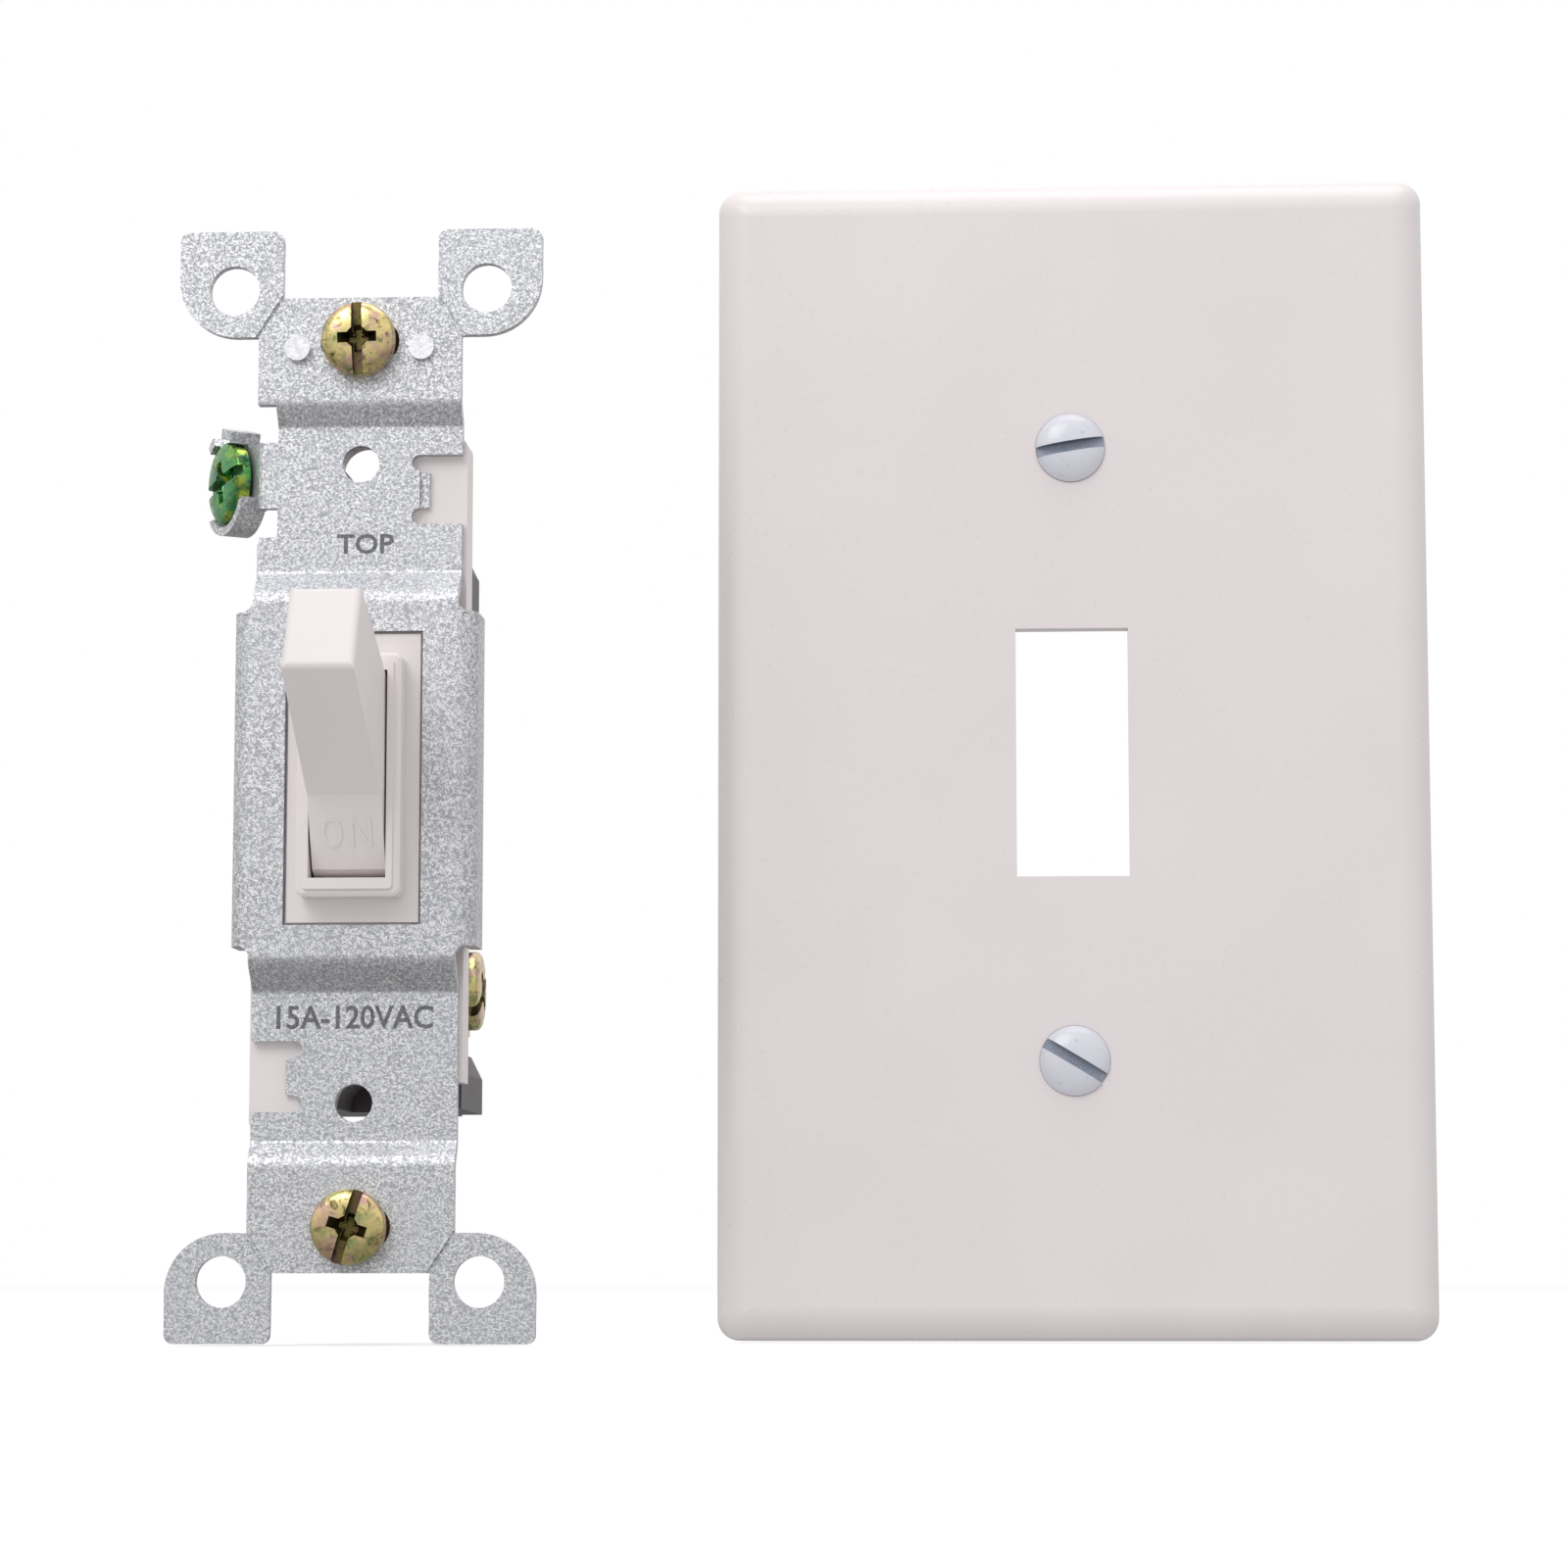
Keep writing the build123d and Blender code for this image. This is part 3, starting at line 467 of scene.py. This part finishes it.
def fit_screw(node, body, outward, side, kind, turn, coat, recess_coat):
    """Replaces a CAD screw by a threaded one that fills the same space."""
    out = Vector(outward).normalized()
    across = Vector(side).normalized()
    third = out.cross(across)
    spots = [v.co for v in NODES[node].data.vertices]
    reach = [[p.dot(d) for p in spots] for d in (across, third, out)]
    low, high = [min(r) for r in reach], [max(r) for r in reach]
    head_r = (high[0] - low[0]) / 2
    length = high[2] - low[2]
    top = across * (low[0] + high[0]) / 2 + third * (low[1] + high[1]) / 2 + out * high[2]
    pitch = metal().thread * MM
    shank = SHANK_R[kind] * MM
    if kind == "oval":
        cone, dome = OVAL_CONE * MM, OVAL_DOME * MM
        profile = [(0, 0), (0.3, 0.03), (0.55, 0.13), (0.78, 0.36), (0.93, 0.66), (1.0, 0.95)]
        profile = [(r * head_r, d * dome) for r, d in profile]
        under = dome + cone
        profile.append((shank + 0.3 * MM, under - 0.1 * MM))
        profile.append((shank, under))
        slots = [(tapered_block(3 * head_r, 1.05 * MM, 1.25 * MM), turn)]
    else:
        height = HEAD_HIGH[kind] * MM
        profile = [(0, 0), (0.5, 0.015), (0.76, 0.06), (0.9, 0.14), (0.97, 0.25), (1.0, 0.4)]
        profile += [(1.0, 0.94), (0.97, 1.0)]
        profile = [(r * head_r, d * height) for r, d in profile]
        under = height
        if kind == "box":
            neck = NECK_R * MM
            profile.append((neck, under))
            under += NECK_LONG * MM
            profile.append((neck, under - 0.1 * MM))
        profile.append((shank, under))
        wide = 0.28 * head_r
        slots = [(tapered_block(3 * head_r, wide, 0.85 * MM), turn)]
        for quarter in (0, pi / 2):
            arm = tapered_block(1.3 * head_r, wide * 1.25, 1.5 * MM, at_foot=0.4)
            slots.append((arm, turn + quarter))
        core = tapered_block(0.72 * head_r, 0.72 * head_r, 1.1 * MM, at_foot=0.5)
        slots.append((core, turn + pi / 4))
    mesh = turned_screw(profile, shank, under, length, pitch)
    mesh = cut_recess(mesh, slots)
    basis = Matrix((across, third, out)).transposed().to_4x4()
    basis.translation = top
    mesh.transform(basis)
    smooth(mesh)
    marks = [face.material_index for face in mesh.polygons]
    piece = add_piece(node + "_threaded", mesh, body, coat)
    mesh.materials.append(recess_coat)
    for face, mark in zip(mesh.polygons, marks):
        face.material_index = 1 if mark == 1 else 0
    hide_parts(node)
    return piece


class SCREWS_OT_dress(bpy.types.Operator):
    """Threads and driver recesses of the seven screws"""

    bl_idname = "wall_switch.screws"
    bl_label = "Screws"

    def execute(self, context):
        # Yellow chromate film: brass-gold with pink and green oil-slick patches
        yellow = passivated_zinc("zinc_yellow_chromate", "#DDC98C", "#CFA3A0", "#A3AF74")
        # The same film down in the driver recess, darkened with painted shade: olive brown and dull
        recess = passivated_zinc("zinc_yellow_recess_painted_shade", "#6E6038", "#6B4F50", "#4C5430", 0.4)
        # Green-dyed chromate film: leaf green, blue and gold where the film changes thickness
        green = passivated_zinc("zinc_green_chromate", "#4F9A55", "#3D6E62", "#A9BE4C", 0.2)
        white, worn = painted_screw(), slot_steel()
        back = -radians(58)
        ground_out = (sin(back), -cos(back), 0)
        ground_side = (-cos(back), -sin(back), 0)
        plan = [
            ("upper_mounting_screw", (0, -1, 0), (1, 0, 0), "box", 92, yellow, recess),
            ("lower_mounting_screw", (0, -1, 0), (1, 0, 0), "box", 73, yellow, recess),
            ("load_terminal_screw", (1, 0, 0), (0, 1, 0), "terminal", 35, yellow, recess),
            ("line_terminal_screw", (-1, 0, 0), (0, 1, 0), "terminal", 35, yellow, recess),
            ("ground_screw", ground_out, ground_side, "ground", 10, green, green),
            ("plate_screw_upper", (0, -1, 0), (1, 0, 0), "oval", 9, white, worn),
            ("plate_screw_lower", (0, -1, 0), (1, 0, 0), "oval", -31, white, worn),
        ]
        for node, out, side, kind, turn, coat, inside in plan:
            fit_screw(node, node, out, side, kind, radians(turn), coat, inside)
        return {"FINISHED"}


# --- the other pieces -------------------------------------------------------------------------
def strike_words(name, words, width_mm, height_mm, x, y, z, material):
    """Words struck into the strap, facing the room, as a thin mesh on its face."""
    text = bpy.data.curves.new(name, "FONT")
    text.body = words
    text.size = height_mm * MM * 1.4
    text.align_x = text.align_y = "CENTER"
    text.extrude = 0.012 * MM
    text.offset = 0.05 * MM
    text.resolution_u = 3
    holder = bpy.data.objects.new(name, text)
    bpy.context.scene.collection.objects.link(holder)
    bpy.context.view_layer.update()
    graph = bpy.context.evaluated_depsgraph_get()
    mesh = bpy.data.meshes.new_from_object(holder.evaluated_get(graph))
    bpy.data.objects.remove(holder)
    wide, tall = ([v.co[axis] for v in mesh.vertices] for axis in (0, 1))
    wide, tall = max(wide) - min(wide), max(tall) - min(tall)
    mesh.transform(
        Matrix.Translation((x * MM, y * MM, z * MM))
        @ Matrix.Rotation(pi / 2, 4, "X")
        @ Matrix.Diagonal((width_mm * MM / wide, height_mm * MM / tall, 1.0, 1.0))
    )
    return add_piece(name, mesh, "device", material)


class STRAP_OT_dress(bpy.types.Operator):
    """Galvanised strap, its struck words, and the two rivets"""

    bl_idname = "wall_switch.strap"
    bl_label = "Mounting strap"

    def execute(self, context):
        zinc, struck = spangled_zinc(), struck_letter_painted_shade()
        paint(["mounting_strap"], zinc)
        paint(["clip_rivets"], burnished_zinc())
        ease_edges(["mounting_strap"], 0.09, angle=40, segments=2)
        ease_edges(["clip_rivets"], 0.35, angle=40, segments=4)
        strike_words("struck_top", "TOP", 5.4, 1.9, 0.5, 0.285, 22.4, struck)
        strike_words("struck_rating", "15A-120VAC", 14.7, 2.2, -0.2, 0.285, -22.3, struck)
        return {"FINISHED"}


class MOULDINGS_OT_dress(bpy.types.Operator):
    """Toggle and cover frame in white plastic"""

    bl_idname = "wall_switch.mouldings"
    bl_label = "Toggle and cover frame"

    def execute(self, context):
        white = moulded_plastic("urea_white_moulded", plastic().handle, 0.42, 0.22)
        paint(["cover_frame", "toggle"], white)
        ease_edges(["cover_frame"], plastic().edge, angle=35)
        ease_edges(["toggle"], plastic().edge * 1.2, angle=14)
        return {"FINISHED"}


class HOUSING_OT_dress(bpy.types.Operator):
    """Dark base behind the strap"""

    bl_idname = "wall_switch.housing"
    bl_label = "Base"

    def execute(self, context):
        paint(["base"], moulded_phenolic())
        ease_edges(["base"], 0.25, angle=35)
        return {"FINISHED"}


class CONTACTS_OT_dress(bpy.types.Operator):
    """Brass strips, silver contacts, spring, plunger and washers"""

    bl_idname = "wall_switch.contacts"
    bl_label = "Contacts and small parts"

    def execute(self, context):
        brasses = ["contact_rocker", "line_terminal", "load_terminal", "grounding_clip"]
        paint(brasses, rolled_brass())
        paint(["moving_contact", "fixed_contact"], contact_silver())
        paint(["toggle_spring"], drawn_wire())
        paint(["plunger"], natural_nylon())
        paint(["upper_screw_retainer", "lower_screw_retainer"], vulcanised_fibre())
        ease_edges(brasses, 0.08, segments=2)
        ease_edges(["upper_screw_retainer", "lower_screw_retainer"], 0.06, segments=2)
        return {"FINISHED"}


class PLATE_OT_dress(bpy.types.Operator):
    """One-gang wall plate"""

    bl_idname = "wall_switch.plate"
    bl_label = "Wall plate"

    def execute(self, context):
        paint(["wall_plate"], moulded_plastic("urea_plate_polished", plastic().plate, 0.30, 0.9))
        ease_edges(["wall_plate"], 0.2, angle=35)
        return {"FINISHED"}


def softbox(name, spot, look_at, size, watts):
    light = bpy.data.lights.new(name, "AREA")
    light.shape, light.size, light.energy = "SQUARE", size, watts
    lamp = bpy.data.objects.new(name, light)
    bpy.context.scene.collection.objects.link(lamp)
    lamp.location = spot
    lamp.rotation_euler = (Vector(look_at) - Vector(spot)).to_track_quat("-Z", "Y").to_euler()
    return lamp


class STAGE_OT_set(bpy.types.Operator):
    """Pale floor, soft light and the camera"""

    bl_idname = "wall_switch.stage"
    bl_label = "Stage"

    def execute(self, context):
        scene = context.scene
        scene.view_settings.view_transform = "Standard"
        low, high = CAD_BOX
        # floor: matt pale card, a faint tooth to it
        material, tree, surface, place = new_finish("matt_card")
        surface.inputs["Emission Color"].default_value = (1.0, 1.0, 1.0, 1.0)
        surface.inputs["Emission Strength"].default_value = 0.285
        tooth, tone = mottled(
            tree, place, 1.5, (0.3, 0.7), hex_linear("#F6F6F6"), hex_linear("#FBFBFB")
        )
        worn_skin(tree, surface, tone, tooth, (0.85, 0.95), 0.01)
        mesh = bpy.data.meshes.new("floor")
        far = 6.0
        mesh.from_pydata(
            [(-far, -far, 0), (far, -far, 0), (far, far, 0), (-far, far, 0)], [], [(0, 1, 2, 3)]
        )
        mesh.materials.append(material)
        floor = bpy.data.objects.new("floor", mesh)
        scene.collection.objects.link(floor)
        floor.location = (0, 0, low.z - 0.0002)
        floor.visible_glossy = floor.visible_diffuse = False
        # world: white to the eye, and for the object brighter above than below
        world = bpy.data.worlds.new("studio")
        scene.world = world
        world.use_nodes = True
        tree = world.node_tree
        tree.nodes.clear()
        up = add_node(
            tree, "ShaderNodeSeparateXYZ",
            {"Vector": add_node(tree, "ShaderNodeTexCoord").outputs["Generated"]},
        ).outputs["Z"]
        mild = {"Value": up, "From Min": -0.7, "From Max": 0.5, "To Min": 0.68, "To Max": 0.70}
        steep = {"Value": up, "From Min": -0.3, "From Max": 0.4, "To Min": 0.36, "To Max": 1.05}
        path = add_node(tree, "ShaderNodeLightPath")
        strength = add_node(
            tree, "ShaderNodeMix",
            {
                0: path.outputs["Is Glossy Ray"],
                2: add_node(tree, "ShaderNodeMapRange", mild).outputs[0],
                3: add_node(tree, "ShaderNodeMapRange", steep).outputs[0],
            },
        ).outputs[0]
        white = (1.0, 1.0, 1.0, 1.0)
        dome = add_node(
            tree, "ShaderNodeBackground", {"Color": white, "Strength": strength}
        ).outputs[0]
        seen = add_node(tree, "ShaderNodeBackground", {"Color": white, "Strength": 1.0}).outputs[0]
        eye = path.outputs["Is Camera Ray"]
        both = add_node(tree, "ShaderNodeMixShader", {0: eye, 1: dome, 2: seen}).outputs[0]
        add_node(tree, "ShaderNodeOutputWorld", {"Surface": both})
        centre = (low + high) / 2
        softbox("key softbox", centre + Vector((-0.35, -0.75, 0.65)), centre, 0.55, 3.2)
        softbox("top softbox", centre + Vector((0.1, -0.05, 0.9)), centre, 0.6, 2.2)
        # camera: aimed so that the strap's centre falls left of the middle, as framed
        stage = scene.switch_stage
        lens = bpy.data.cameras.new("camera")
        eye_point = bpy.data.objects.new("camera", lens)
        scene.collection.objects.link(eye_point)
        aim = Vector((40.1, 0.0, -0.6)) * MM
        level = cos(stage.below)
        look = Vector((-sin(stage.side) * level, cos(stage.side) * level, sin(stage.below)))
        eye_point.location = aim - look * stage.distance
        eye_point.rotation_euler = look.to_track_quat("-Z", "Y").to_euler()
        lens.sensor_width = 36.0
        view_width = 146.11872 * MM  # seen at the aim's distance
        lens.lens = 36.0 * stage.distance / view_width
        lens.clip_start, lens.clip_end = 0.01, 100.0
        scene.camera = eye_point
        return {"FINISHED"}


STEPS = ("strap", "mouldings", "housing", "contacts", "screws", "plate", "stage")


class SWITCH_PT_panel(bpy.types.Panel):
    """Settings and steps of the wall switch"""

    bl_idname = "SWITCH_PT_panel"
    bl_label = "Wall Switch"
    bl_space_type = "VIEW_3D"
    bl_region_type = "UI"
    bl_category = "Wall Switch"

    def draw(self, context):
        scene = context.scene
        for group in (scene.switch_plastic, scene.switch_metal, scene.switch_stage):
            box = self.layout.box()
            for key in group.bl_rna.properties.keys():
                if key not in ("rna_type", "name"):
                    box.prop(group, key)
        for step in STEPS:
            self.layout.operator("wall_switch." + step)


CLASSES = (
    SwitchPlasticSettings, SwitchMetalSettings, SwitchStageSettings, STRAP_OT_dress,
    MOULDINGS_OT_dress, HOUSING_OT_dress, CONTACTS_OT_dress, SCREWS_OT_dress, PLATE_OT_dress,
    STAGE_OT_set, SWITCH_PT_panel,
)
GROUPS = {
    "switch_plastic": SwitchPlasticSettings,
    "switch_metal": SwitchMetalSettings,
    "switch_stage": SwitchStageSettings,
}


def register():
    for item in CLASSES:
        bpy.utils.register_class(item)
    for name, group in GROUPS.items():
        setattr(bpy.types.Scene, name, bpy.props.PointerProperty(type=group))


def unregister():
    for name in GROUPS:
        delattr(bpy.types.Scene, name)
    for item in reversed(CLASSES):
        bpy.utils.unregister_class(item)


def main():
    register()
    for step in STEPS:
        getattr(bpy.ops.wall_switch, step)()
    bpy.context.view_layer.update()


if __name__ == "__main__":
    main()
